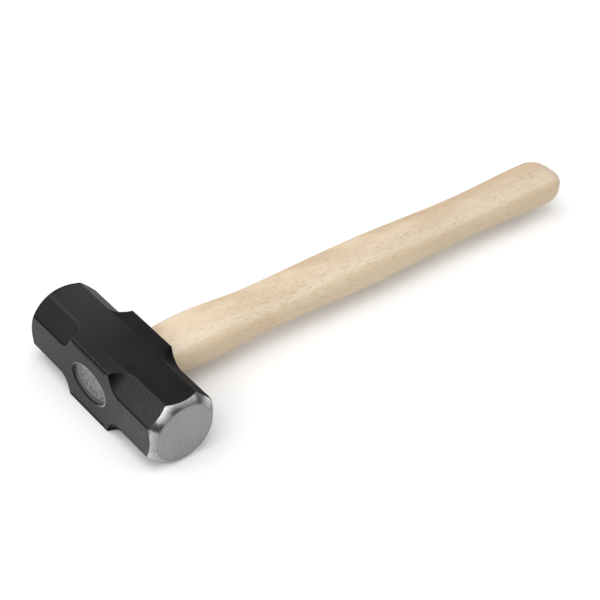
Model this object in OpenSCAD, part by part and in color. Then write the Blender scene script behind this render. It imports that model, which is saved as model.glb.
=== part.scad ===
// Two pound sledgehammer lying on one cheek, in millimetres.
// X is the striking axis, +Y runs from the head to the butt of the handle, +Z is up.
// The origin is the centre of the lower cheek, straight under the middle of the eye.

/* [Head] */
// Length of the head from one striking face to the other
head_length = 106.5; // [90:0.5:130]
// Width of the bar across its flats, in both directions
head_width = 37; // [35:0.5:44]
// Width of each main flat where the ends of the bar are eight-sided
flat_width = 18; // [16:0.5:20]
// Distance from the middle of the head to where the corner cuts reach full depth
cut_start = 25; // [23:0.1:32]
// Radius of the hollow that leads into each corner cut
cut_radius = 9.2; // [9:0.05:12]
// Diameter of the flat striking face
face_d = 32; // [26:0.5:34]
// Length of the ground bevel, measured along a corner of the eight-sided end
bevel_length = 4.5; // [2:0.1:6]

/* [Eye] */
// Length of the oval eye at its mouths
eye_length = 27.6; // [24:0.1:29]
// Height of the oval eye at its mouths
eye_height = 17.8; // [16:0.1:20]
// Radius of the rounded ends of the oval
eye_end_radius = 6.6; // [6:0.1:7.5]
// How much narrower the middle of the eye is than its mouths, on each side
eye_waist = 0.7; // [0:0.1:1.2]
// Size of the softened edge around each mouth
eye_rim = 0.6; // [0.2:0.1:1]

/* [Handle] */
// Overall length of the hammer, from the outer mouth of the eye to the butt
overall_length = 329; // [260:1:400]
// Height of the handle divided by its width
oval_ratio = 0.68; // [0.6:0.01:0.9]
// Fullness of the grip's section: 2 is a plain ellipse, and more gives flatter sides with tighter corners
grip_fullness = 3; // [2:0.1:4]
// Width of the shoulder just behind the head
shoulder_width = 29.8; // [28:0.2:34]
// Distance from the middle of the head to the widest part of the shoulder
shoulder_at = 45; // [36:1:52]
// Width of the neck behind the shoulder
neck_width = 26.2; // [24:0.2:30]
// Distance from the middle of the head to the neck
neck_at = 84; // [70:1:100]
// Width of the swell in the middle of the handle
swell_width = 28.4; // [26:0.2:34]
// Distance from the middle of the head to the swell
swell_at = 158; // [130:1:170]
// Width of the waist of the grip
waist_width = 25.4; // [23:0.2:30]
// Distance from the butt to the waist of the grip
waist_from_butt = 76; // [60:1:85]
// Width of the butt at its widest
butt_width = 28.4; // [25:0.2:34]
// Length of the rounded end of the butt
butt_round = 15; // [8:0.5:18]

/* [Wedges and seal] */
// Depth of the recess between the eye face and the seal
seal_depth = 2.6; // [1:0.1:4]
// Thickness of the seal over the wedged end
seal_thickness = 1.4; // [0.6:0.1:2]
// Thickness of the wooden wedge at its outer end
wedge_thickness = 4.4; // [3:0.1:6]
// Thickness of the nose of the wooden wedge, which is also the width of the saw cut
wedge_nose = 1.4; // [1:0.1:2]
// Length of the wooden wedge
wedge_length = 21; // [16:0.5:24]
// How much deeper the saw cut runs than the wooden wedge
kerf_extra = 4; // [0.5:0.5:6]
// Width of each steel wedge across the wooden one
steel_width = 11; // [9:0.5:12]
// Thickness of each steel wedge at its outer end
steel_thickness = 3; // [2.4:0.1:3.6]
// Length of each steel wedge
steel_length = 16; // [12:0.5:18]
// Distance of each steel wedge from the middle of the eye
steel_at = 6.4; // [5:0.1:7.5]

/* [Hidden] */
$fn = 96;
half_width = head_width / 2;
half_length = head_length / 2;
half_flat = flat_width / 2;
axis_z = half_width;

// Distance from the head's axis to a corner flat, and to the corner of the eight-sided end
corner_flat = (half_width + half_flat) / sqrt(2);
corner_radius = sqrt(half_width * half_width + half_flat * half_flat);
bevel_slope = (corner_radius - face_d / 2) / bevel_length;
bevel_outer = half_width * 1.5;

// The eye is an oval of four arcs: two small end arcs and two large side arcs
eye_a = eye_length / 2;
eye_b = eye_height / 2;
eye_r = eye_end_radius;
eye_c = eye_a - eye_r;
side_radius = (eye_c * eye_c + eye_b * eye_b - eye_r * eye_r) / (2 * (eye_b - eye_r));
tangent_angle = atan2(side_radius - eye_b, eye_c);

// Small step where the handle's shoulder meets the tenon, inside the softened edge of the eye
mouth_step = 0.3 * eye_rim;

tenon_end = -half_width + seal_depth + seal_thickness;
butt_end = overall_length - half_width;
waist_at = butt_end - waist_from_butt;
butt_at = butt_end - butt_round;
ring_points = 48;
stations = [
  [shoulder_at, shoulder_width / 2],
  [neck_at, neck_width / 2],
  [swell_at, swell_width / 2],
  [waist_at, waist_width / 2],
  [butt_at, butt_width / 2]
];

// Widening of the eye outline at distance y from the middle of the head
function eye_grow(y) = -eye_waist * (1 - abs(y) / half_width);

// Distance from the centre of a four-arc oval to its outline in direction t
function oval_reach(t, a, b, r) =
  let (
    u = abs(cos(t)),
    v = abs(sin(t)),
    c = a - r,
    big = (c * c + b * b - r * r) / (2 * (b - r)),
    drop = big - b,
    to_end = c * u + sqrt(max(0, r * r - c * c * v * v)),
    on_end = atan2(to_end * v, to_end * u - c) <= atan2(drop, c)
  )
  on_end ? to_end : sqrt(big * big - drop * drop * u * u) - drop * v;

// Distance from the centre of the grip's section to its outline in direction t
function grip_reach(t, a, b) =
  let (n = grip_fullness)
  pow(pow(abs(cos(t)) / a, n) + pow(abs(sin(t)) / b, n), -1 / n);

// Smooth blend from 0 to 1
function ease(t) = (1 - cos(180 * t)) / 2;

// Half width of the handle at distance y, by smooth steps between the stations
function between(y, i) =
  let (
    p = stations[i],
    q = stations[i + 1]
  )
  y <= q[0] || i == len(stations) - 2
    ? p[1] + (q[1] - p[1]) * ease(min(1, (y - p[0]) / (q[0] - p[0])))
    : between(y, i + 1);

// Distance from the handle's axis to its surface at distance y and direction t:
// the eye's own oval at the mouth, the grip's section from the shoulder on, and a dome over the butt
function handle_reach(y, t) =
  let (
    rise = sin(90 * min(1, max(0, (y - half_width) / (shoulder_at - half_width)))),
    at_mouth = oval_reach(t, eye_a + mouth_step, eye_b + mouth_step, eye_r + mouth_step),
    a = between(max(y, shoulder_at), 0),
    at_grip = grip_reach(t, a, a * oval_ratio),
    u = min(0.999, max(0, (y - butt_at) / butt_round))
  )
  (at_mouth + (at_grip - at_mouth) * rise) * pow(1 - pow(u, 2.2), 1 / 2.2);

// Stations of the rings: even along the handle, closer together on the round end
function ring_at() = [
  for (i = [0:9]) half_width + (shoulder_at - half_width) * i / 10,
  for (i = [0:31]) shoulder_at + (butt_at - shoulder_at) * i / 32,
  for (i = [0:10]) butt_at + butt_round * sin(9 * i)
];

// Points of every ring, one ring after another
function ring_cloud() = [
  for (y = ring_at())
    for (k = [0:ring_points - 1])
      let (
        t = 360 * (k + 0.5) / ring_points,
        reach = handle_reach(y, t)
      )
      [reach * cos(t), y, reach * sin(t)]
];

// Faces between neighbouring rings, and the two end caps
function ring_faces(rings, n) = concat(
  [[for (i = [n - 1:-1:0]) i]],
  [
    for (j = [0:rings - 2])
      for (k = [0:n - 1])
        [j * n + k, j * n + (k + 1) % n, (j + 1) * n + (k + 1) % n, (j + 1) * n + k]
  ],
  [[for (i = [0:n - 1]) (rings - 1) * n + i]]
);

// Which node to draw

// ---- Shared shapes, drawn around the head's own axis ----

// Oval plug along +Y between two stations, wider or narrower than the eye's mouth at each
module oval_plug(y0, y1, grow0, grow1) {
  h = y1 - y0;
  reach = 2 * eye_b;
  tx = eye_c + reach * cos(tangent_angle);
  ty = reach * sin(tangent_angle);
  translate([0, y0, 0])
    rotate([-90, 0, 0]) {
      for (s = [-1, 1])
        translate([s * eye_c, 0, 0])
          cylinder(h = h, r1 = eye_r + grow0, r2 = eye_r + grow1);
      intersection() {
        translate([0, side_radius - eye_b, 0])
          cylinder(h = h, r1 = side_radius + grow0, r2 = side_radius + grow1);
        translate([0, eye_b - side_radius, 0])
          cylinder(h = h, r1 = side_radius + grow0, r2 = side_radius + grow1);
        linear_extrude(height = h)
          polygon([[eye_c, 0], [tx, ty], [-tx, ty], [-eye_c, 0], [-tx, -ty], [tx, -ty]]);
      }
    }
}

// What fills the eye from one station to the other, waisted in the middle
module eye_fill(y0, y1) {
  oval_plug(y0, 0, eye_grow(y0), eye_grow(0));
  oval_plug(0, y1, eye_grow(0), eye_grow(y1));
}

// Side outline of the wooden wedge, with the saw cut carried on past its nose
module wedge_outline(extra) {
  t0 = wedge_thickness / 2;
  t1 = wedge_nose / 2;
  far = wedge_length + extra;
  polygon([[0, -t0], [wedge_length, -t1], [far, -t1], [far, t1], [wedge_length, t1], [0, t0]]);
}

// The wooden wedge or its cut as a prism across the whole eye
module wedge_prism(extra) {
  translate([0, tenon_end, 0])
    rotate([90, 0, 90])
      translate([0, 0, -eye_length])
        linear_extrude(height = 2 * eye_length)
          wedge_outline(extra);
}

// One barbed steel wedge, driven across the wooden one
module steel_prism(side) {
  teeth = 4;
  step = steel_length / (teeth + 1);
  half = steel_thickness / 2;
  right = [
    for (i = [0:teeth - 1])
      let (
        y = step * (i + 0.5),
        t = half * (1 - 0.8 * y / steel_length)
      )
        each [[t, y], [t - 0.25, y + 0.3]]
  ];
  nose = [[0.3, steel_length], [-0.3, steel_length]];
  left = [for (i = [len(right) - 1:-1:0]) [-right[i][0], right[i][1]]];
  outline = concat([[half, 0]], right, nose, left, [[-half, 0]]);
  translate([side * steel_at, tenon_end, -steel_width / 2])
    linear_extrude(height = steel_width)
      polygon(outline);
}

// Cutter for one corner at one end of the bar: a flat with a hollow leading into it
module corner_cutter() {
  rotate([-45, 0, 0])
    rotate([90, 0, 0])
      translate([0, 0, -half_width])
        linear_extrude(height = head_width) {
          translate([cut_start, corner_flat])
            square([half_length, half_width]);
          translate([cut_start, corner_flat + cut_radius])
            circle(r = cut_radius);
        }
}

// Turned envelope that leaves the bevel around each striking face
module turned_envelope() {
  back = half_length - (bevel_outer - face_d / 2) / bevel_slope;
  rotate([0, 90, 0])
    rotate_extrude()
      polygon([
        [0, -half_length],
        [face_d / 2, -half_length],
        [bevel_outer, -back],
        [bevel_outer, back],
        [face_d / 2, half_length],
        [0, half_length]
      ]);
}

// ---- The pieces ----

// Forged head: square bar, eight-sided ends, ground faces, waisted oval eye
module head() {
  inner = half_width - 1.5 * eye_rim;
  color([0.09, 0.09, 0.10])
    translate([0, 0, axis_z])
      difference() {
        intersection() {
          cube([head_length, head_width, head_width], center = true);
          turned_envelope();
        }
        for (turn = [0:90:270])
          rotate([turn, 0, 0]) {
            corner_cutter();
            mirror([1, 0, 0]) corner_cutter();
          }
        eye_fill(-half_width, half_width);
        oval_plug(-half_width - eye_rim, -inner, 2 * eye_rim, -eye_rim / 2);
        oval_plug(inner, half_width + eye_rim, -eye_rim / 2, 2 * eye_rim);
      }
}

// Turned handle with its wedged tenon
module handle() {
  color([0.86, 0.77, 0.63])
    translate([0, 0, axis_z])
      union() {
        difference() {
          eye_fill(tenon_end, half_width + 1);
          wedge_prism(kerf_extra);
          steel_prism(-1);
          steel_prism(1);
        }
        polyhedron(points = ring_cloud(), faces = ring_faces(len(ring_at()), ring_points));
      }
}

// Wooden wedge that spreads the tenon along the eye
module wooden_wedge() {
  color([0.72, 0.58, 0.42])
    translate([0, 0, axis_z])
      difference() {
        intersection() {
          wedge_prism(0);
          eye_fill(tenon_end, half_width);
        }
        steel_prism(-1);
        steel_prism(1);
      }
}

// Barbed steel wedge towards one striking face
module steel_wedge_1() {
  color([0.6, 0.6, 0.62])
    translate([0, 0, axis_z])
      steel_prism(-1);
}

// Barbed steel wedge towards the other striking face
module steel_wedge_2() {
  color([0.6, 0.6, 0.62])
    translate([0, 0, axis_z])
      steel_prism(1);
}

// Hard seal over the wedged end, set back inside the eye
module eye_seal() {
  y0 = -half_width + seal_depth;
  color([0.42, 0.42, 0.43])
    translate([0, 0, axis_z])
      oval_plug(y0, tenon_end, eye_grow(y0), eye_grow(tenon_end));
}

head();
handle();
wooden_wedge();
steel_wedge_1();
steel_wedge_2();
eye_seal();
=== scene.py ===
"""Looks of a short-handled sledgehammer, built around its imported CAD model.

Metres, in the CAD frame: X is the striking axis, +Y runs from the head to the butt, +Z is up,
and the origin is the centre of the lower cheek. The lists of sizes say which ones repeat the CAD
design's own values and which belong to the looks alone.
"""

import math

import bmesh
import bpy
from mathutils import Matrix, Vector


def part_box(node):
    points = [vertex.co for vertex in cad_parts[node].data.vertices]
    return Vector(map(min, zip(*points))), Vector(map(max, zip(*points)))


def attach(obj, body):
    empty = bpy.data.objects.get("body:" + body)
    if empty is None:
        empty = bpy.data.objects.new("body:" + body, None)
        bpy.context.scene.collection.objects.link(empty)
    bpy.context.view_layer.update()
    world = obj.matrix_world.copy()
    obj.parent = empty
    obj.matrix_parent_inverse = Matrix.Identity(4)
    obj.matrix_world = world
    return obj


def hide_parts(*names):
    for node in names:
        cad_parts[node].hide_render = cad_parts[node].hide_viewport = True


MM = 0.001

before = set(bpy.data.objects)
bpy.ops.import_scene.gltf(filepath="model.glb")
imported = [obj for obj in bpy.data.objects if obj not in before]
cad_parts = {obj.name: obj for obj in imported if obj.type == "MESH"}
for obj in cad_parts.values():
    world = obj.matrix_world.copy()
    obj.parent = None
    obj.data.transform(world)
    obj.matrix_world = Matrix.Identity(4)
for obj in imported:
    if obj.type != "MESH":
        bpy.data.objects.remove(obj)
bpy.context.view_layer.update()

# ---- Sizes that come from the frame ----

head_lo, head_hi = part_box("head")
handle_lo, handle_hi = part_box("handle")
wedge_lo, wedge_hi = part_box("wooden_wedge")

HALF_LENGTH = (head_hi[0] - head_lo[0]) / 2
HALF_WIDTH = (head_hi[2] - head_lo[2]) / 2
AXIS_Z = (head_hi[2] + head_lo[2]) / 2
BUTT_END = handle_hi[1]
TENON_END = handle_lo[1]
SEAL_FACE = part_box("eye_seal")[0][1]

# ---- Sizes that repeat the CAD design ----

HALF_FLAT = 9 * MM
CUT_START = 25 * MM
CUT_RADIUS = 9.2 * MM
FACE_RADIUS = 16 * MM
BEVEL_LENGTH = 4.5 * MM
EYE_A, EYE_B, EYE_R = 13.8 * MM, 8.9 * MM, 6.6 * MM
EYE_WAIST = 0.7 * MM
EYE_RIM = 0.6 * MM
OVAL_RATIO = 0.68
GRIP_FULLNESS = 3
BUTT_FULLNESS = 2.2
SHOULDER_AT = 45 * MM
BUTT_ROUND = 15 * MM
BUTT_AT = BUTT_END - BUTT_ROUND
STATIONS = [
    (SHOULDER_AT, 14.9 * MM),
    (84 * MM, 13.1 * MM),
    (158 * MM, 14.2 * MM),
    (BUTT_END - 76 * MM, 12.7 * MM),
    (BUTT_AT, 14.2 * MM),
]
KERF_WIDTH = 1.4 * MM
KERF_EXTRA = 4 * MM

CORNER_FLAT = (HALF_WIDTH + HALF_FLAT) / math.sqrt(2)
CORNER_RADIUS = math.hypot(HALF_WIDTH, HALF_FLAT)
BEVEL_SLOPE = (CORNER_RADIUS - FACE_RADIUS) / BEVEL_LENGTH

# ---- Sizes of the looks alone ----

EDGE_ROUND = 0.55 * MM
HOLLOW_BLEND = 0.3 * MM
BEVEL_CROWN = 0.045
FACE_CROWN = 0.12 * MM
FACE_EDGE_AT, FACE_EDGE_DROP = 0.985, 0.06 * MM
RIM_MARGIN = 0.3 * MM
HANDLE_SIDE_SHADE = 0.72
SEAL_TILT = 0.9 * MM
SEAL_SAG = 0.3 * MM
SEAL_RIPPLE = 0.06 * MM
SEAL_FILLET = 0.35 * MM
FILM_BELOW_RIM = 0.5 * MM

# Slots of the head's two materials
COATED, GROUND = 0, 1


# ---- Small helpers ----


def lerp(a, b, t):
    return a + (b - a) * t


def ease(t):
    return (1 - math.cos(math.pi * t)) / 2


def smooth_min(a, b, k):
    """The smaller of a and b, blended over a width k."""
    h = max(k - abs(a - b), 0) / k
    return min(a, b) - h * h * k / 4


def mesh_object(name, verts, faces, materials=(), slots=None):
    mesh = bpy.data.meshes.new(name)
    mesh.from_pydata([tuple(v) for v in verts], [], faces)
    for material in materials:
        mesh.materials.append(material)
    if slots:
        mesh.polygons.foreach_set("material_index", slots)
    mesh.polygons.foreach_set("use_smooth", [True] * len(mesh.polygons))
    bm = bmesh.new()
    bm.from_mesh(mesh)
    bmesh.ops.recalc_face_normals(bm, faces=bm.faces)
    bm.to_mesh(mesh)
    bm.free()
    mesh.update()
    obj = bpy.data.objects.new(name, mesh)
    bpy.context.scene.collection.objects.link(obj)
    return obj


def store(obj, name, values):
    """A number for each vertex, which the materials read by its name."""
    layer = obj.data.attributes.new(name, "FLOAT", "POINT")
    layer.data.foreach_set("value", values)


def weighted_normals(obj):
    """Large flat faces keep their own normal, so only the rounded edges shade as round."""
    modifier = obj.modifiers.new("flat_faces_stay_flat", "WEIGHTED_NORMAL")
    modifier.mode = "FACE_AREA"
    modifier.weight = 50
    modifier.keep_sharp = True


def skin(rings):
    """Faces between neighbouring rings of the same number of vertex indices."""
    faces = []
    for a, b in zip(rings, rings[1:]):
        n = len(a)
        for i in range(n):
            j = (i + 1) % n
            faces.append((a[i], a[j], b[j], b[i]))
    return faces


# ---- The four-arc oval of the eye and of the handle's sections ----


def oval_reach(angle, a, b, r):
    """Distance from the centre of a four-arc oval to its outline in one direction."""
    u, v = abs(math.cos(angle)), abs(math.sin(angle))
    c = a - r
    big = (c * c + b * b - r * r) / (2 * (b - r))
    drop = big - b
    reach = c * u + math.sqrt(max(r * r - c * c * v * v, 0))
    on_end = math.atan2(reach * v, reach * u - c) <= math.atan2(drop, c)
    if on_end:
        return reach
    return -drop * v + math.sqrt(big * big - drop * drop * u * u)


def eye_grow(y):
    return -EYE_WAIST * (1 - abs(y) / HALF_WIDTH)


def eye_ring(angles, y, grow):
    """Points of the eye's outline at station y, widened by grow, in the given directions."""
    points = []
    for angle in angles:
        reach = oval_reach(angle, EYE_A + grow, EYE_B + grow, EYE_R + grow)
        points.append((reach * math.cos(angle), y, AXIS_Z + reach * math.sin(angle)))
    return points


# ---- Head ----

FLAT_STEPS, ARC_STEPS, FACET_STEPS = 26, 4, 12
AROUND = 4 * (FLAT_STEPS + 2 * ARC_STEPS + FACET_STEPS)
SKIRT_ROWS, BEVEL_ROWS, RIM_ROWS, WALL_ROWS = 6, 10, 5, 24
PANEL_HALF = 15 * MM
BODY_END = 47 * MM
HOLLOW_TURN = 74


def facet_distance(x):
    """Distance of a corner's surface from the head's axis: the square corner, the hollow or the flat."""
    square = math.sqrt(2) * HALF_WIDTH - (math.sqrt(2) - 1) * EDGE_ROUND
    short = max(CUT_START - abs(x), 0)
    if short >= CUT_RADIUS:
        return square
    hollow = CORNER_FLAT + CUT_RADIUS - math.sqrt(CUT_RADIUS**2 - short**2)
    return smooth_min(square, hollow, HOLLOW_BLEND)


def spread(steps, i):
    """Share of the way along a flat at step i, with one narrow step at each end."""
    margin = 0.02
    if i in (0, steps):
        return i / steps
    return lerp(margin, 1 - margin, (i - 1) / (steps - 2))


def head_section(x):
    """Outline of the head across its axis at station x, as (y, z) about the axis."""
    inner = HALF_WIDTH - EDGE_ROUND
    leg = max(math.sqrt(2) * (math.sqrt(2) * inner - (facet_distance(x) - EDGE_ROUND)), 0)
    end = inner - leg
    arc = [math.radians(45 * i / ARC_STEPS) for i in range(ARC_STEPS + 1)]
    quarter = [(HALF_WIDTH, lerp(-end, end, spread(FLAT_STEPS, j))) for j in range(FLAT_STEPS)]
    first = [(inner + EDGE_ROUND * math.cos(t), end + EDGE_ROUND * math.sin(t)) for t in arc]
    second = [(v, u) for u, v in reversed(first)]
    quarter += first
    for i in range(1, FACET_STEPS):
        t = spread(FACET_STEPS, i)
        quarter.append((lerp(first[-1][0], second[0][0], t), lerp(first[-1][1], second[0][1], t)))
    quarter += second[:-1]
    outline = list(quarter)
    for _ in range(3):
        quarter = [(-v, u) for u, v in quarter]
        outline += quarter
    return outline


def hollow_station(degrees):
    """Station on the +X side where a corner's hollow stands at an angle: 0 at its foot on the flat."""
    return CUT_START - CUT_RADIUS * math.sin(math.radians(degrees))


def body_stations():
    """Stations of the rings along the head: few on flats, many where the corner cuts begin."""
    middle = [PANEL_HALF * i / 10 for i in range(-10, 11)]
    lead_in = [lerp(PANEL_HALF, hollow_station(HOLLOW_TURN), i / 4) for i in range(1, 4)]
    hollow = [hollow_station(HOLLOW_TURN * (1 - i / 40)) for i in range(41)]
    straight = [lerp(CUT_START, BODY_END, i / 10) for i in range(1, 11)]
    right = [x for x in lead_in + hollow + straight if x > PANEL_HALF + 0.01 * MM]
    return [-x for x in reversed(right)] + middle + right


def end_rings():
    """Rings from the last straight station out to the middle of a striking face, on the +X end."""
    outline = head_section(BODY_END)
    far = [math.hypot(*p) for p in outline]
    edge = [HALF_LENGTH - (f - FACE_RADIUS) / BEVEL_SLOPE for f in far]
    rings = []
    for i in range(1, SKIRT_ROWS + 1):
        share = ease(i / (2 * SKIRT_ROWS)) * 2 if i < SKIRT_ROWS else 1
        rings.append([(lerp(BODY_END, x, share), *p) for x, p in zip(edge, outline)])
    for i in range(1, BEVEL_ROWS + 1):
        t = FACE_EDGE_AT * i / BEVEL_ROWS
        swell = BEVEL_CROWN * 4 * t * (1 - t)
        ring = []
        for x, f, p in zip(edge, far, outline):
            r = lerp(f, FACE_RADIUS, t) + swell * (HALF_LENGTH - x)
            along = lerp(x, HALF_LENGTH, t) + swell * (f - FACE_RADIUS)
            ring.append((along, p[0] * r / f, p[1] * r / f))
        rings.append(ring)
    for r in [FACE_EDGE_AT, 0.965, 0.9, 0.75, 0.6, 0.45, 0.3, 0.15]:
        x = HALF_LENGTH - (FACE_CROWN * r * r + (FACE_EDGE_DROP if r == FACE_EDGE_AT else 0))
        ring = [(x, p[0] / f * r * FACE_RADIUS, p[1] / f * r * FACE_RADIUS) for f, p in zip(far, outline)]
        rings.append(ring)
    return rings


class HeadMesh:
    """The head's vertices, faces and material slots, put together ring by ring."""

    def __init__(self):
        self.verts, self.faces, self.slots = [], [], []

    def add(self, points):
        """New vertices from points about the head's axis. Returns their indices."""
        first = len(self.verts)
        self.verts.extend((x, y, AXIS_Z + z) for x, y, z in points)
        return list(range(first, first + len(points)))

    def add_eye_ring(self, angles, y, grow):
        return self.add([(x, y, z - AXIS_Z) for x, y, z in eye_ring(angles, y, grow)])

    def cover(self, faces, slot):
        self.faces.extend(faces)
        self.slots.extend([slot] * len(faces))

    def body(self):
        """The straight body without the two panels that hold the eye's mouths."""
        self.stations = body_stations()
        self.rows = [self.add([(x, *p) for p in head_section(x)]) for x in self.stations]
        opposite = AROUND // 2
        panels = set(range(FLAT_STEPS)) | set(range(opposite, opposite + FLAT_STEPS))
        for i, (a, b) in enumerate(zip(self.rows, self.rows[1:])):
            by_panel = abs(self.stations[i] + self.stations[i + 1]) / 2 < PANEL_HALF
            kept = [k for k in range(AROUND) if not (by_panel and k in panels)]
            self.cover([(a[k], a[(k + 1) % AROUND], b[(k + 1) % AROUND], b[k]) for k in kept], COATED)

    def end(self, ring, side):
        """One end, from the last straight ring: coated skirt, ground bevel and striking face."""
        for n, points in enumerate(end_rings()):
            fresh = self.add([(side * x, y, z) for x, y, z in points])
            self.cover(skin([ring, fresh]), COATED if n < SKIRT_ROWS else GROUND)
            ring = fresh
        centre = self.add([(side * HALF_LENGTH, 0, 0)])[0]
        self.cover([(ring[k], ring[(k + 1) % AROUND], centre) for k in range(AROUND)], GROUND)

    def panel_edge(self, column):
        """A panel's edge as vertex indices, starting at -X and low Z. column(0) is its low-Z edge."""
        first = next(i for i, x in enumerate(self.stations) if x > -PANEL_HALF - 0.01 * MM)
        panel = self.rows[first : len(self.rows) - first]
        low = [row[column(0)] for row in panel]
        high = [row[column(FLAT_STEPS)] for row in panel]
        right = [panel[-1][column(j)] for j in range(1, FLAT_STEPS)]
        left = [panel[0][column(j)] for j in range(FLAT_STEPS - 1, 0, -1)]
        return low + right + high[::-1] + left

    def mouth(self, edge, angles, side):
        """Rings from a panel's edge over the worn rim to the start of the eye's wall."""
        flat = side * HALF_WIDTH
        outer = eye_ring(angles, flat, EYE_RIM + RIM_MARGIN)
        rings = [edge]
        for t in (0.35, 0.7, 0.9, 1.0):
            ring = []
            for i, (x, _, z) in zip(edge, outer):
                from_x, _, from_z = self.verts[i]
                ring.append((lerp(from_x, x, t), flat, lerp(from_z, z, t) - AXIS_Z))
            rings.append(self.add(ring))
        for step in range(RIM_ROWS + 1):
            turn = math.radians(90 * step / RIM_ROWS)
            depth = EYE_RIM * (1 - math.cos(turn))
            grow = EYE_RIM * (1 - math.sin(turn)) + eye_grow(HALF_WIDTH - depth) * step / RIM_ROWS
            rings.append(self.add_eye_ring(angles, side * (HALF_WIDTH - depth), grow))
        return rings

    def eye(self):
        """Panel, rounded rim and waisted wall, from the -Y mouth to the +Y mouth."""
        plus = self.panel_edge(lambda j: j)
        minus = self.panel_edge(lambda j: AROUND // 2 + FLAT_STEPS - j)
        angles = [math.atan2(self.verts[i][2] - AXIS_Z, self.verts[i][0]) for i in plus]
        rings = self.mouth(minus, angles, -1)
        wall = HALF_WIDTH - EYE_RIM
        for i in range(1, WALL_ROWS):
            y = lerp(-wall, wall, i / WALL_ROWS)
            rings.append(self.add_eye_ring(angles, y, eye_grow(y)))
        rings += reversed(self.mouth(plus, angles, 1))
        self.cover(skin(rings), COATED)


def build_head(black, steel):
    shape = HeadMesh()
    shape.body()
    shape.end(shape.rows[-1], 1)
    shape.end(shape.rows[0], -1)
    shape.eye()
    obj = mesh_object("hammer_head", shape.verts, shape.faces, [black, steel], shape.slots)
    store_wear_and_painted_light(obj)
    sharpen_bevel(obj)
    weighted_normals(obj)
    return obj


def store_wear_and_painted_light(obj):
    """Per-vertex masks of the coating: "edge" for rubbed edges that also carry a painted highlight, "rim"
    for a painted highlight on the eye's mouth, and one for painted shade in hollows and along dark edges.
    """
    points = [v.co for v in obj.data.vertices]
    edge, recess = [], []
    for p in points:
        amount = edge_amount(p)
        # Along the edge band: a painted highlight where it faces a cheek, painted shade where it faces a
        # side.
        on_cheek_side = abs(p.z - AXIS_Z) >= abs(p.y)
        edge.append(amount if on_cheek_side else 0.0)
        shaded_edge = 0.0 if on_cheek_side else amount
        # Painted shade: the hollows, the far rim, the cheek by the +X hollow and the side-facing edges.
        recess.append(max(recess_amount(p), far_rim_shade_amount(p), shoulder_shade_amount(p), shaded_edge))
    store(obj, "edge", edge)
    store(obj, "recess", recess)
    store(obj, "rim", [rim_highlight_amount(p) for p in points])


def edge_amount(p):
    """How near a point is to a rounded outer edge of the head, from 0 to 1."""
    band, inside = 0.5 * MM, 0.1 * MM
    y, z = abs(p.y), abs(p.z - AXIS_Z)
    if abs(p.x) > 49 * MM or min(HALF_WIDTH - y, HALF_WIDTH - z) < -inside:
        return 0.0
    near_flat = min(HALF_WIDTH - max(y, z), band) / band
    diagonal = facet_distance(p.x) - (y + z) / math.sqrt(2)
    near_facet = min(max(diagonal, 0), band) / band
    return max(0.0, 1 - near_flat - near_facet)


def rim_highlight_amount(p):
    """How much painted highlight lies on the upper edge of the eye's open mouth."""
    start, stop, fade_in, fade_out = -60, 170, 40, 60
    depth = HALF_WIDTH + p.y
    around = math.atan2(p.z - AXIS_Z, p.x)
    reach = oval_reach(around, EYE_A, EYE_B, EYE_R)
    if depth > 0.5 * EYE_RIM or math.hypot(p.x, p.z - AXIS_Z) > reach + 1.2 * EYE_RIM:
        return 0.0
    angle = math.degrees(math.atan2((p.z - AXIS_Z) / EYE_B, p.x / EYE_A))
    if not start < angle < stop:
        return 0.0
    return min(1.0, (angle - start) / fade_in, (stop - angle) / fade_out)


def far_rim_shade_amount(p):
    """How near a point is to the upper edge of the -X end's coating, which gets painted shade there."""
    lowest, band = 6 * MM, 1 * MM
    z = p.z - AXIS_Z
    if p.x > 0 or z < lowest:
        return 0.0
    edge = HALF_LENGTH - (math.hypot(p.y, z) - FACE_RADIUS) / BEVEL_SLOPE
    return min(max(1 - (edge + p.x) / band, 0.0), 1.0)


def recess_amount(p):
    """How steep a corner's hollow is at a point, from 0 on the flats; it sets the painted shade in the
    hollow. Less of it on the handle side.
    """
    y, z = abs(p.y), abs(p.z - AXIS_Z)
    short = CUT_START - abs(p.x)
    on_cut = (y + z) / math.sqrt(2) > facet_distance(p.x) - 0.2 * MM
    square_corner = facet_distance(p.x) > math.sqrt(2) * HALF_WIDTH - 0.5 * MM
    if not on_cut or short < 0 or square_corner:
        return 0.0
    share = 1.0 if p.y < 0 else HANDLE_SIDE_SHADE
    return share * min(short / CUT_RADIUS, 1.0) ** 1.5


def shoulder_shade_amount(p):
    """How near a point of a cheek is to the +X hollow on the handle side, where the forging turns down; it
    sets painted shade on the cheek there.
    """
    hollow_x, fade, most = 18 * MM, 9 * MM, 0.3
    if abs(p.z - AXIS_Z) < HALF_WIDTH - 0.1 * MM:
        return 0.0
    away = math.hypot(p.x - hollow_x, p.y - HALF_WIDTH)
    return most * max(1 - away / fade, 0.0)


def sharpen_bevel(obj):
    """Marks the edges between coating and ground steel as sharp, because the grinding cut them crisp."""
    bm = bmesh.new()
    bm.from_mesh(obj.data)
    for edge in bm.edges:
        kinds = {face.material_index for face in edge.link_faces}
        if len(kinds) == 2:
            edge.smooth = False
    bm.to_mesh(obj.data)
    bm.free()


# ---- Handle ----


def half_width_at(y):
    for (y0, w0), (y1, w1) in zip(STATIONS, STATIONS[1:]):
        if y <= y1:
            return lerp(w0, w1, ease((y - y0) / (y1 - y0)))
    return STATIONS[-1][1]


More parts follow.
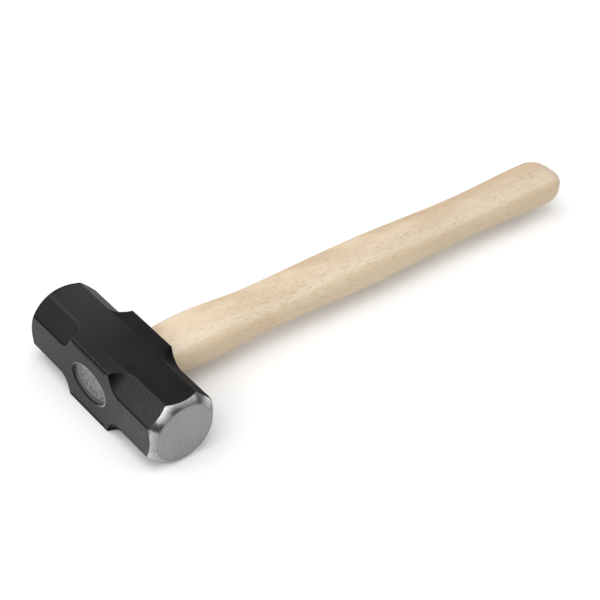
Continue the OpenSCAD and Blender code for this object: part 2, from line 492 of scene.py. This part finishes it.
def handle_reach(y, angle):
    """Distance from the handle's axis to its surface at station y in one direction."""
    step = 0.3 * EYE_RIM
    rise = math.sin(math.pi / 2 * min(max((y - HALF_WIDTH) / (SHOULDER_AT - HALF_WIDTH), 0), 1))
    at_mouth = oval_reach(angle, EYE_A + step, EYE_B + step, EYE_R + step)
    a = half_width_at(max(y, SHOULDER_AT))
    n = GRIP_FULLNESS
    at_grip = ((abs(math.cos(angle)) / a) ** n + (abs(math.sin(angle)) / (a * OVAL_RATIO)) ** n) ** (-1 / n)
    past_butt = min(max((y - BUTT_AT) / BUTT_ROUND, 0), 0.99999)
    return lerp(at_mouth, at_grip, rise) * (1 - past_butt**BUTT_FULLNESS) ** (1 / BUTT_FULLNESS)


def handle_rings():
    """Rings from the sealed end of the tenon to the tip of the butt."""
    count = 112
    angles = [2 * math.pi * (k + 0.5) / count for k in range(count)]
    rings = []
    for share in (0.25, 0.6, 0.85):
        ring = eye_ring(angles, TENON_END, eye_grow(TENON_END))
        rings.append([(share * x, y, AXIS_Z + share * (z - AXIS_Z)) for x, y, z in ring])
    for i in range(17):
        y = lerp(TENON_END, HALF_WIDTH, i / 16)
        rings.append(eye_ring(angles, y, eye_grow(y)))
    stations = [lerp(HALF_WIDTH, SHOULDER_AT, i / 16) for i in range(16)]
    stations += [lerp(SHOULDER_AT, BUTT_AT, i / 90) for i in range(90)]
    stations += [BUTT_AT + BUTT_ROUND * math.sin(math.radians(i * 88 / 20)) for i in range(21)]
    for y in stations:
        ring = []
        for angle in angles:
            reach = handle_reach(y, angle)
            ring.append((reach * math.cos(angle), y, AXIS_Z + reach * math.sin(angle)))
        rings.append(ring)
    return rings


def lofted(name, rings, first_tip, last_tip, materials=()):
    """A closed loft through rings of points, with a pole at each end."""
    count = len(rings[0])
    verts = [first_tip] + [p for ring in rings for p in ring] + [last_tip]
    index = [[1 + r * count + k for k in range(count)] for r in range(len(rings))]
    faces = [(0, index[0][(k + 1) % count], index[0][k]) for k in range(count)]
    faces += skin(index)
    last = len(verts) - 1
    faces += [(last, index[-1][k], index[-1][(k + 1) % count]) for k in range(count)]
    return mesh_object(name, verts, faces, materials)


def kerf_cutter():
    """The saw cut with its wooden wedge, as one prism across the tenon."""
    y0, y1 = TENON_END - 1 * MM, wedge_hi[1]
    half0, half1 = (wedge_hi[2] - wedge_lo[2]) / 2, KERF_WIDTH / 2
    outline = [(y0, -half0), (y1, -half1), (y1 + KERF_EXTRA, -half1)]
    outline += [(y, -z) for y, z in reversed(outline)]
    reach = 20 * MM
    verts = [(side * reach, y, AXIS_Z + z) for side in (-1, 1) for y, z in outline]
    n = len(outline)
    faces = [tuple(range(n)), tuple(range(2 * n - 1, n - 1, -1))]
    faces += [(i, (i + 1) % n, n + (i + 1) % n, n + i) for i in range(n)]
    return mesh_object("kerf_cutter", verts, faces)


def copy_of_node(name):
    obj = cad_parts[name].copy()
    obj.data = obj.data.copy()
    obj.parent = None
    obj.matrix_world = Matrix.Identity(4)
    bpy.context.scene.collection.objects.link(obj)
    bm = bmesh.new()
    bm.from_mesh(obj.data)
    bmesh.ops.remove_doubles(bm, verts=bm.verts, dist=1e-6)
    bm.to_mesh(obj.data)
    bm.free()
    return obj


def cut_away(obj, cutters):
    """Cuts each cutter out of the object's own mesh, then removes the cutters."""
    for cutter in cutters:
        modifier = obj.modifiers.new("cut", "BOOLEAN")
        modifier.operation = "DIFFERENCE"
        modifier.solver = "EXACT"
        modifier.object = cutter
    graph = bpy.context.evaluated_depsgraph_get()
    mesh = bpy.data.meshes.new_from_object(obj.evaluated_get(graph))
    obj.modifiers.clear()
    obj.data = mesh
    for cutter in cutters:
        bpy.data.objects.remove(cutter)


def build_handle(wood):
    first_tip = (0, TENON_END, AXIS_Z)
    last_tip = (0, BUTT_END, AXIS_Z)
    obj = lofted("wooden_handle", handle_rings(), first_tip, last_tip, [wood])
    cutters = [kerf_cutter(), copy_of_node("steel_wedge_1"), copy_of_node("steel_wedge_2")]
    cut_away(obj, cutters)
    weighted_normals(obj)
    return obj


# ---- Seal ----


def seal_point(angle, share):
    """A point of the seal's open surface, at a share of the way from the middle to the eye's wall."""
    x, _, z = eye_ring([angle], SEAL_FACE, eye_grow(SEAL_FACE))[0]
    x, z = share * x, share * (z - AXIS_Z)
    ripple = math.sin(x / (2.3 * MM)) * math.cos(z / (1.9 * MM) + x / (5 * MM))
    sunk = SEAL_TILT * (1 + x / EYE_A) / 2 + SEAL_SAG * (1 - share**4) + SEAL_RIPPLE * ripple
    return (x, SEAL_FACE + sunk, AXIS_Z + z)


def build_seal(resin):
    """Plug over the wedged end: it sags, lies deeper towards +X and creeps up the wall as a thin film."""
    count, fillet_steps, film_steps = 128, 6, 4
    gap, film = 0.06 * MM, 0.05 * MM
    angles = [2 * math.pi * (k + 0.5) / count for k in range(count)]
    film_top = -HALF_WIDTH + EYE_RIM + FILM_BELOW_RIM
    shares = (0.12, 0.25, 0.4, 0.55, 0.7, 0.8, 0.87, 0.92)
    rings = [[seal_point(angle, share) for angle in angles] for share in shares]
    climb = [0.0] * (count * len(shares))

    def add(y, inset, height, tilt):
        stations = [y + tilt * (1 + math.cos(angle)) / 2 for angle in angles]
        rings.append([eye_ring([a], y, eye_grow(y) - inset)[0] for a, y in zip(angles, stations)])
        climb.extend([height] * count)

    for step in range(fillet_steps + 1):
        turn = math.radians(90 * step / fillet_steps)
        y = SEAL_FACE + 0.1 * MM - SEAL_FILLET * (1 - math.cos(turn))
        add(y, SEAL_FILLET * (1 - math.sin(turn)) + gap, step / fillet_steps, SEAL_TILT)
    for i in range(1, film_steps + 1):
        up = i / film_steps
        add(lerp(SEAL_FACE - SEAL_FILLET, film_top, up), film, 1.0, SEAL_TILT * (1 - up))
    add(film_top, -film, 1.0, 0.0)
    add(TENON_END, 0.0, 1.0, 0.0)
    first_tip = (0, SEAL_FACE + SEAL_TILT / 2 + SEAL_SAG, AXIS_Z)
    obj = lofted("eye_seal_skin", rings, first_tip, (0, TENON_END, AXIS_Z), [resin])
    store(obj, "climb", [0.0] + climb + [1.0])
    weighted_normals(obj)
    return obj


# ---- Materials ----


def grey(value):
    return (value, value, value)


class Nodes:
    """A short way to write one material's node tree."""

    def __init__(self, name):
        self.material = bpy.data.materials.new(name)
        self.material.use_nodes = True
        self.tree = self.material.node_tree
        self.shader = self.tree.nodes["Principled BSDF"]

    def add(self, kind, **settings):
        node = self.tree.nodes.new(kind)
        for key, value in settings.items():
            setattr(node, key, value)
        return node

    def link(self, a, b):
        self.tree.links.new(a, b)

    def put(self, socket, value):
        """Links a socket to another one, or gives it a constant."""
        if isinstance(value, bpy.types.NodeSocket):
            self.link(value, socket)
        else:
            socket.default_value = value

    def feed(self, node, **inputs):
        for key, value in inputs.items():
            self.put(node.inputs[key.replace("_", " ")], value)
        return node

    def place(self, scale=(1, 1, 1), turn=(0, 0, 0), shift=(0, 0, 0)):
        """Object coordinates, stretched, turned and moved."""
        coords = self.add("ShaderNodeTexCoord").outputs["Object"]
        mapping = self.add("ShaderNodeMapping")
        self.feed(mapping, Vector=coords, Scale=scale, Rotation=turn, Location=shift)
        return mapping.outputs["Vector"]

    def split(self, vector):
        """The X, Y and Z of a vector."""
        node = self.feed(self.add("ShaderNodeSeparateXYZ"), Vector=vector)
        return [node.outputs[axis] for axis in "XYZ"]

    def noise(self, vector, scale, detail=3, roughness=0.5):
        node = self.add("ShaderNodeTexNoise")
        self.feed(node, Vector=vector, Scale=scale, Detail=detail, Roughness=roughness)
        return node.outputs["Fac"]

    def ramp(self, value, low, high, to_low=0.0, to_high=1.0):
        """Maps low..high to to_low..to_high, smoothly and clamped."""
        node = self.add("ShaderNodeMapRange", interpolation_type="SMOOTHSTEP")
        self.feed(node, Value=value, From_Min=low, From_Max=high, To_Min=to_low, To_Max=to_high)
        return node.outputs["Result"]

    def math(self, operation, *values):
        node = self.add("ShaderNodeMath", operation=operation)
        for socket, value in zip(node.inputs, values):
            self.put(socket, value)
        return node.outputs[0]

    def plus(self, a, b):
        return self.math("ADD", a, b)

    def minus(self, a, b):
        return self.math("SUBTRACT", a, b)

    def times(self, a, b):
        return self.math("MULTIPLY", a, b)

    def mix(self, amount, a, b):
        """Colour a where the amount is 0 and colour b where it is 1."""
        node = self.add("ShaderNodeMix", data_type="RGBA")
        self.put(node.inputs[0], amount)
        for socket, value in zip((node.inputs[6], node.inputs[7]), (a, b)):
            self.put(socket, value if isinstance(value, bpy.types.NodeSocket) else (*value, 1))
        return node.outputs[2]

    def layers(self, colour, *coats):
        """Lays coats of (amount, colour) over a colour, one after the other."""
        for amount, coat in coats:
            colour = self.mix(amount, colour, coat)
        return colour

    def attribute(self, name):
        return self.add("ShaderNodeAttribute", attribute_name=name).outputs["Fac"]

    def bump(self, height, strength, distance, normal=None):
        node = self.add("ShaderNodeBump")
        self.feed(node, Height=height, Strength=strength, Distance=distance)
        if normal:
            self.link(normal, node.inputs["Normal"])
        return node.outputs["Normal"]


def black_finish():
    """Satin black coating on forged steel: fine grain, dust with a painted sheen near the +X end, rubbed
    edges with a painted highlight, a painted highlight on the eye's mouth, and painted shade in the hollows
    and along dark edges.
    """
    n = Nodes("black_finish")
    where = n.place()
    x, y, _ = n.split(where)
    grain = n.noise(where, 1500, 2, 0.6)
    cloud = n.noise(where, 70, 4, 0.55)
    specks = n.ramp(n.noise(where, 1500, 2, 0.55), 0.44, 0.72)
    specks = n.times(specks, n.ramp(y, -18.4 * MM, -17.8 * MM, 1.1, 0.65))
    # Lighter towards the +X end on the eye side: dust specks and a painted sheen.
    dust_and_sheen = n.times(n.ramp(x, -5 * MM, 45 * MM, 0.1, 1.0), n.ramp(y, -10.5 * MM, -8.5 * MM, 1.0, 0.1))
    # The edge band: rubbed coating that is also a painted highlight line, weaker on the handle side.
    edge = n.times(n.attribute("edge"), n.ramp(grain, 0.3, 0.6, 0.5, 1.0))
    edge = n.times(edge, n.ramp(y, 0.0, 12 * MM, 1.0, 0.3))
    # A painted highlight along the upper edge of the eye's mouth.
    rim = n.times(n.attribute("rim"), n.ramp(grain, 0.3, 0.55, 0.5, 1.0))
    # Painted shade: near black, rougher, and partly metallic so that it reflects less.
    recess = n.attribute("recess")

    colour = n.layers(
        n.mix(n.ramp(cloud, 0.3, 0.7), (0.0045, 0.0045, 0.0047), (0.0076, 0.0076, 0.0080)),
        (n.times(dust_and_sheen, 0.42), grey(0.040)),
        (n.times(specks, dust_and_sheen), grey(0.066)),
        (n.times(edge, 0.5), (0.075, 0.075, 0.076)),
        (recess, grey(0.003)),
        (rim, grey(0.42)),
    )
    rough = n.plus(n.ramp(grain, 0.3, 0.7, 0.34, 0.42), n.ramp(cloud, 0.3, 0.7, -0.03, 0.04))
    rough = n.plus(rough, n.times(recess, 0.6))
    rough = n.minus(rough, n.times(edge, 0.14))
    handle_side = n.ramp(y, 8.5 * MM, 10 * MM, 0.0, 0.45)
    rough = n.plus(rough, n.times(handle_side, n.ramp(x, -30 * MM, -15 * MM, 0.4)))
    forged = n.bump(n.noise(where, 160, 3, 0.5), 0.25, 0.12 * MM)
    n.feed(n.shader, Base_Color=colour, Roughness=rough, IOR=1.305, Metallic=n.times(recess, 0.85))
    n.feed(n.shader, Normal=n.bump(grain, 0.4, 0.04 * MM, forged))
    return n.material


def ground_steel():
    """Bare steel: fine grinding, painted dark reflections below the upper corners, a painted highlight on
    the bevel's outer part, and near black on the outer part of the -X bevel.
    """
    n = Nodes("ground_steel")
    coords = n.add("ShaderNodeTexCoord").outputs["Object"]
    x, y, height = n.split(coords)
    z = n.minus(height, AXIS_Z)
    angle = n.math("ARCTAN2", z, y)
    radius = n.math("SQRT", n.plus(n.times(y, y), n.times(z, z)))
    polar = n.feed(n.add("ShaderNodeCombineXYZ"), X=n.times(angle, 0.02), Y=radius, Z=x)
    lines = n.noise(polar.outputs[0], 1800, 2, 0.6)
    fine = n.noise(n.place((1500, 800, 1700)), 1.0, 3, 0.6)
    cloud = n.noise(coords, 90, 3, 0.5)
    ragged = n.noise(coords, 260, 3, 0.55)

    # Painted dark reflections below the corners of the eight-sided end, on its upper half only
    corner = math.atan2(HALF_FLAT, HALF_WIDTH)
    eighth = n.math("PINGPONG", n.plus(angle, 0.1), math.pi / 4)
    near = n.plus(n.math("ABSOLUTE", n.minus(eighth, corner)), n.ramp(ragged, 0.3, 0.7, -0.08, 0.08))
    on_bevel = n.ramp(radius, FACE_RADIUS - 0.2 * MM, FACE_RADIUS + 0.9 * MM)
    dark = n.times(n.ramp(near, 0.06, 0.27, 1.0, 0.0), on_bevel)
    dark = n.times(dark, n.ramp(z, -5 * MM, 5 * MM))
    dark = n.times(dark, n.ramp(y, -14 * MM, -8 * MM, 1.0, 0.7))

    # A painted highlight on the bevel's outer part, most of all at the upper tip on the eye side
    outer = n.ramp(radius, FACE_RADIUS + 0.6 * MM, HALF_WIDTH + 1.2 * MM)
    bright_tip = n.times(n.ramp(z, 12 * MM, 16 * MM), n.ramp(y, -2 * MM, 2 * MM, 1.0, 0.0))
    dark = n.times(dark, n.minus(1.0, n.times(outer, bright_tip)))
    outer = n.times(outer, n.minus(1.0, n.times(dark, 0.8)))

    # The outer part of the -X bevel is coloured near black, with a ragged inner edge
    far_end = n.ramp(x, -HALF_LENGTH + 6 * MM, -HALF_LENGTH + 7 * MM, 1.0, 0.0)
    lap = n.plus(radius, n.ramp(ragged, 0.3, 0.7, -0.12 * MM, 0.12 * MM))
    far_bevel_black = n.times(n.ramp(lap, FACE_RADIUS + 1.2 * MM, FACE_RADIUS + 2.1 * MM), far_end)
    ring = n.ramp(n.math("ABSOLUTE", n.minus(radius, FACE_RADIUS)), 0.0, 0.3 * MM, 1.0, 0.0)

    colour = n.layers(
        n.mix(n.ramp(cloud, 0.3, 0.7), (0.29, 0.29, 0.292), (0.31, 0.31, 0.312)),
        (on_bevel, (0.38, 0.38, 0.383)),
        (n.times(outer, 0.8), (0.66, 0.66, 0.665)),
        (n.times(dark, 0.95), (0.04, 0.04, 0.041)),
        (n.times(ring, 0.45), grey(0.12)),
        (n.ramp(fine, 0.35, 0.7, 0.0, 0.45), grey(0.17)),
        (far_bevel_black, grey(0.004)),
    )
    rough = n.plus(n.ramp(lines, 0.3, 0.7, 0.30, 0.40), n.ramp(fine, 0.3, 0.7, -0.04, 0.04))
    grinding = n.bump(n.plus(lines, n.times(fine, 0.6)), 0.25, 0.02 * MM)
    n.feed(n.shader, Base_Color=colour, Roughness=rough, Metallic=1.0, Normal=grinding)
    return n.material


def handle_wood():
    """Pale hardwood: tan and cream zones, growth rings, soft streaks, and short flecks along the grain."""
    n = Nodes("handle_wood")
    ring_x, _, ring_z = n.split(n.place((1, 0.03, 1), (0.02, 0, 0.035), (0.018, 0, 0.03)))
    pith = n.math("SQRT", n.plus(n.times(ring_x, ring_x), n.times(ring_z, ring_z)))
    bend = n.noise(n.place((9, 1.2, 9)), 1.0, 2, 0.5)
    warped = n.plus(n.times(pith, 330), n.times(bend, 5.0))
    rings = n.ramp(n.math("PINGPONG", warped, 1.0), 0.1, 0.95)
    streak = n.noise(n.place((420, 16, 420)), 1.0, 5, 0.65)
    broad = n.noise(n.place((60, 9, 60)), 1.0, 3, 0.5)
    flecks = n.ramp(n.noise(n.place((2500, 300, 2500)), 1.0, 2, 0.5), 0.54, 0.70)
    dashes = n.ramp(n.noise(n.place((1900, 190, 1900), shift=(3, 5, 7)), 1.0, 1, 0.4), 0.60, 0.72)
    grit = n.noise(n.place((2600, 420, 2600), shift=(8, 1, 4)), 1.0, 1, 0.5)
    spots = n.ramp(n.noise(n.place((260, 130, 260), shift=(1, 2, 9)), 1.0, 1, 0.3), 0.74, 0.82)
    zones = n.ramp(n.noise(n.place((80, 30, 80), shift=(4, 2, 6)), 1.0, 2, 0.5), 0.40, 0.62)
    grain_colour = n.layers(
        n.mix(n.ramp(broad, 0.32, 0.68), (0.600, 0.465, 0.315), (0.705, 0.605, 0.457)),
        (n.times(rings, 0.30), (0.60, 0.45, 0.31)),
        (n.ramp(streak, 0.35, 0.75, 0.0, 0.4), (0.72, 0.635, 0.50)),
        (n.times(flecks, 0.68), (0.43, 0.29, 0.17)),
        (n.times(dashes, 0.74), (0.40, 0.265, 0.16)),
        (n.ramp(grit, 0.52, 0.75, 0.0, 0.46), (0.82, 0.745, 0.605)),
        (n.times(spots, 0.35), (0.34, 0.22, 0.13)),
    )

    # Slow drifts: a painted brightening by the head, greyer to the butt, tan and cream zones on the -X
    # side, a painted highlight along the shoulder of the section, an olive flank in painted shade beyond
    # it, a darker butt
    x, y, _ = n.split(n.place())
    across = n.plus(x, n.ramp(broad, 0.3, 0.7, -0.9 * MM, 0.9 * MM))
    ridge_highlight = n.times(n.ramp(across, 5 * MM, 9.5 * MM), n.ramp(across, 10.5 * MM, 12 * MM, 1.0, 0.0))
    colour = n.layers(
        grain_colour,
        # painted light: paler by the head
        (n.ramp(y, 30 * MM, 90 * MM, 0.30, 0.0), (0.82, 0.72, 0.56)),
        (n.ramp(y, 40 * MM, BUTT_END, 0.0, 0.31), (0.40, 0.31, 0.22)),
        (n.ramp(x, -8 * MM, 7 * MM, 0.48, 0.0), (0.56, 0.385, 0.238)),
        (n.times(zones, n.ramp(x, -10 * MM, 8 * MM, 0.38, 0.10)), (0.86, 0.735, 0.560)),
        # painted highlight along the shoulder of the section
        (n.times(ridge_highlight, 0.17), (0.66, 0.60, 0.50)),
        # painted shade on the olive +X flank
        (n.ramp(across, 10.5 * MM, 12 * MM, 0.0, 0.42), (0.57, 0.435, 0.265)),
        (n.ramp(y, BUTT_END - 6 * MM, BUTT_END - 1 * MM, 0.0, 0.35), (0.52, 0.38, 0.22)),
    )
    height = n.minus(n.minus(n.times(streak, 0.6), n.times(flecks, 0.6)), n.times(dashes, 0.6))
    n.feed(n.shader, Base_Color=colour, Roughness=n.ramp(streak, 0.3, 0.7, 0.50, 0.62), IOR=1.45)
    n.feed(n.shader, Normal=n.bump(height, 0.3, 0.06 * MM))
    return n.material


def grey_resin():
    """Hard grey seal: mottled, with small pits, a painted highlight where it curves up into the wall, and
    darker where it thins out up the wall of the eye.
    """
    n = Nodes("grey_resin")
    where = n.place()
    cloud = n.noise(where, 600, 4, 0.65)
    grit = n.noise(where, 1500, 2, 0.6)
    pits = n.ramp(n.noise(where, 900, 1, 0.4), 0.64, 0.72)
    climb = n.attribute("climb")
    colour = n.layers(
        n.mix(n.ramp(cloud, 0.36, 0.64), (0.078, 0.078, 0.077), (0.27, 0.268, 0.264)),
        (n.ramp(grit, 0.52, 0.72, 0.0, 0.55), (0.42, 0.42, 0.41)),
        (n.times(pits, 0.7), grey(0.06)),
        # A painted highlight where the seal curves up into the wall.
        (n.ramp(climb, 0.05, 0.3), (0.25, 0.25, 0.246)),
        (n.ramp(climb, 0.5, 0.95), grey(0.095)),
    )
    height = n.minus(n.plus(cloud, n.times(grit, 0.3)), pits)
    n.feed(n.shader, Base_Color=colour, Roughness=n.ramp(cloud, 0.3, 0.7, 0.38, 0.55))
    n.feed(n.shader, Normal=n.bump(height, 0.5, 0.15 * MM))
    return n.material


def wedge_wood():
    """Plain sawn hardwood for the hidden wedge, darker than the handle."""
    n = Nodes("wedge_wood")
    streak = n.noise(n.place((500, 30, 500)), 1.0, 4, 0.6)
    colour = n.mix(n.ramp(streak, 0.3, 0.7), (0.40, 0.26, 0.14), (0.55, 0.39, 0.23))
    n.feed(n.shader, Base_Color=colour, Roughness=n.ramp(streak, 0.3, 0.7, 0.6, 0.75))
    n.feed(n.shader, Normal=n.bump(streak, 0.3, 0.1 * MM))
    return n.material


def wedge_steel():
    """Stamped steel of the hidden barbed wedges."""
    n = Nodes("wedge_steel")
    lines = n.noise(n.place((1, 0.2, 1)), 2200, 3, 0.6)
    cloud = n.noise(n.place(), 300, 3, 0.5)
    colour = n.mix(n.ramp(cloud, 0.3, 0.7), (0.36, 0.36, 0.37), (0.48, 0.48, 0.49))
    n.feed(n.shader, Base_Color=colour, Roughness=n.ramp(lines, 0.3, 0.7, 0.32, 0.5), Metallic=1.0)
    n.feed(n.shader, Normal=n.bump(lines, 0.3, 0.02 * MM))
    return n.material


def paper_floor():
    """Matt, nearly white, without any shine."""
    n = Nodes("pale_floor")
    shade = n.noise(n.place(), 3.0, 2, 0.5)
    colour = n.mix(n.ramp(shade, 0.3, 0.7), grey(0.90), grey(0.92))
    n.feed(n.shader, Base_Color=colour, Roughness=0.9, Specular_IOR_Level=0.0)
    return n.material


# ---- Stage, light and camera ----


def build_floor():
    half, steps = 4.0, 8
    row = steps + 1
    ticks = [lerp(-half, half, i / steps) for i in range(row)]
    verts = [(x, y, 0) for y in ticks for x in ticks]
    corners = [j * row + i for j in range(steps) for i in range(steps)]
    faces = [(k, k + 1, k + row + 1, k + row) for k in corners]
    floor = mesh_object("floor", verts, faces, [paper_floor()])


def soft_world():
    """A pale studio, dim near the horizon, with broad panels of more or less light."""
    # Direction, angles where the panel is full and where it ends, light that it adds
    panels = [
        ((-0.54, 0.50, 0.68), 16, 40, -1.0),
        ((-0.58, -0.66, 0.47), 12, 34, -0.2),
        ((0.95, 0.15, 0.20), 25, 68, -0.9),
        ((0.89, -0.36, 0.27), 6, 16, 0.8),
        ((0.70, 0.54, 0.47), 8, 20, 0.3),
        ((0.25, -0.45, 0.86), 20, 50, 1.3),
    ]
    horizon, zenith, dimmest, seen_white = 0.12, 1.2, 0.03, 0.95
    world = bpy.data.worlds.new("studio")
    bpy.context.scene.world = world
    world.use_nodes = True
    tree = world.node_tree

    def node(kind, *values, **settings):
        made = tree.nodes.new(kind)
        for key, value in settings.items():
            setattr(made, key, value)
        for socket, value in zip(made.inputs, values):
            if isinstance(value, bpy.types.NodeSocket):
                tree.links.new(value, socket)
            elif value is not None:
                socket.default_value = value
        return made

    def smooth_range(*values):
        return node("ShaderNodeMapRange", *values, interpolation_type="SMOOTHSTEP").outputs[0]

    toward = tree.nodes.new("ShaderNodeTexCoord").outputs["Generated"]
    height = node("ShaderNodeSeparateXYZ", toward).outputs["Z"]
    total = smooth_range(height, 0.0, 0.36, horizon, zenith)
    for direction, inner, outer, light in panels:
        ahead = Vector(direction).normalized()
        dot = node("ShaderNodeVectorMath", toward, ahead, operation="DOT_PRODUCT").outputs["Value"]
        limits = [math.cos(math.radians(a)) for a in (outer, inner)]
        panel = smooth_range(dot, *limits, 0.0, light)
        total = node("ShaderNodeMath", total, panel, operation="ADD").outputs[0]
    total = node("ShaderNodeMath", total, dimmest, operation="MAXIMUM").outputs[0]
    seen = tree.nodes.new("ShaderNodeLightPath").outputs["Is Camera Ray"]
    mixed = node("ShaderNodeMix", seen, None, total, seen_white, data_type="FLOAT")
    tree.links.new(mixed.outputs[0], tree.nodes["Background"].inputs["Strength"])
    tree.nodes["Background"].inputs["Color"].default_value = (1, 1, 1, 1)


def far_light():
    """A small card of light behind the far end, mirrored by the far part of the upper cheek."""
    lamp = bpy.data.lights.new("far_light", "AREA")
    lamp.shape = "SQUARE"
    lamp.size = 50 * MM
    lamp.energy = 0.011
    obj = bpy.data.objects.new("far_light", lamp)
    bpy.context.scene.collection.objects.link(obj)
    target = Vector((head_lo[0] + 4 * MM, 0, head_hi[2]))
    obj.location = target + 80 * MM * Vector((-0.561, 0.539, 0.628))
    obj.rotation_euler = (target - obj.location).to_track_quat("-Z", "Y").to_euler()
    obj.visible_camera = False


def build_camera():
    """A long lens from above and in front of the head, turned a little about its own axis."""
    azimuth, elevation, roll = math.radians(46.14), math.radians(38.88), math.radians(6.58)
    distance, across, above = 763.0 * MM, 88.0 * MM, 34.4 * MM
    level = math.cos(elevation)
    back = Vector((math.sin(azimuth) * level, -math.cos(azimuth) * level, math.sin(elevation)))
    right = Vector((0, 0, 1)).cross(back).normalized()
    up = back.cross(right)
    cos_roll, sin_roll = math.cos(roll), math.sin(roll)
    right, up = right * cos_roll + up * sin_roll, up * cos_roll - right * sin_roll
    data = bpy.data.cameras.new("camera")
    data.lens = 93.55
    data.sensor_width = 36
    data.clip_start, data.clip_end = 0.01, 50
    camera = bpy.data.objects.new("camera", data)
    place = Vector((0, 0, AXIS_Z)) + right * across + up * above + back * distance
    camera.matrix_world = Matrix.Translation(place) @ Matrix((right, up, back)).transposed().to_4x4()
    bpy.context.scene.collection.objects.link(camera)
    bpy.context.scene.camera = camera


# ---- Put it together ----


def dress_node(name, material):
    """Gives a CAD node that stays a finished material."""
    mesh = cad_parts[name].data
    mesh.materials.clear()
    mesh.materials.append(material)


def main():
    head = build_head(black_finish(), ground_steel())
    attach(head, "root")
    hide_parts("head")

    handle = build_handle(handle_wood())
    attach(handle, "root")
    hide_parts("handle")

    seal = build_seal(grey_resin())
    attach(seal, "root")
    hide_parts("eye_seal")

    dress_node("wooden_wedge", wedge_wood())
    steel = wedge_steel()
    dress_node("steel_wedge_1", steel)
    dress_node("steel_wedge_2", steel)

    build_floor()
    soft_world()
    far_light()
    build_camera()
    bpy.context.scene.view_settings.view_transform = "Standard"


main()
